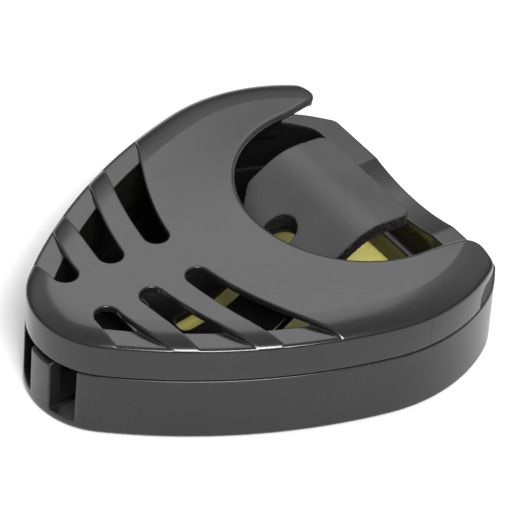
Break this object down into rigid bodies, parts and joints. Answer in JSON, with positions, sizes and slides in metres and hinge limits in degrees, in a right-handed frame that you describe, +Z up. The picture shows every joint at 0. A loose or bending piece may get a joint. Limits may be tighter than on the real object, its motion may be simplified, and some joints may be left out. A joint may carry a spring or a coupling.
{
  "type": "guitar pick holder",
  "caption": "Stick-on guitar pick holder: rounded triangular shell with finger slots, open thumb notch, sprung tongue with rubber pad, adhesive back with liner.",
  "frame": {"origin": "centre of the underside's bounding box, on the surface the holder stands on", "axes": "+Y along the centre line from the narrow tip to the open thumb notch, +X across the width, +Z up out of the cover"},
  "size_m": [0.0392, 0.0452, 0.0127],
  "materials": {
    "base_plastic": "black moulded plastic, satin gloss",
    "cover_plastic": "black moulded plastic, satin gloss",
    "tongue_plastic": "black moulded plastic, glossy",
    "pad_rubber": "dark grey rubber sheet, satin, with cut edges",
    "adhesive_foam": "thin black foam tape, matt",
    "liner_paper": "yellow silicone-coated release paper, slightly glossy"
  },
  "bodies": {
    "base": {"base_shell": "base_plastic", "adhesive_pad": "adhesive_foam", "release_liner": "liner_paper"},
    "cover": {"top_cover": "cover_plastic"},
    "tongue": {"spring_tongue": "tongue_plastic", "grip_pad": "pad_rubber"}
  },
  "joints": [
    {"name": "tongue_press", "type": "hinge", "parent": "base", "child": "tongue", "pos_m": [0, -0.0066, 0.00235], "axis": [1, 0, 0], "range_deg": [-12, 0], "stiffness_Nm_per_rad": 0.25},
    {"name": "cover_lift", "type": "slide", "parent": "base", "child": "cover", "axis": [0, 0, 1], "range_m": [0, 0.015]}
  ]
}
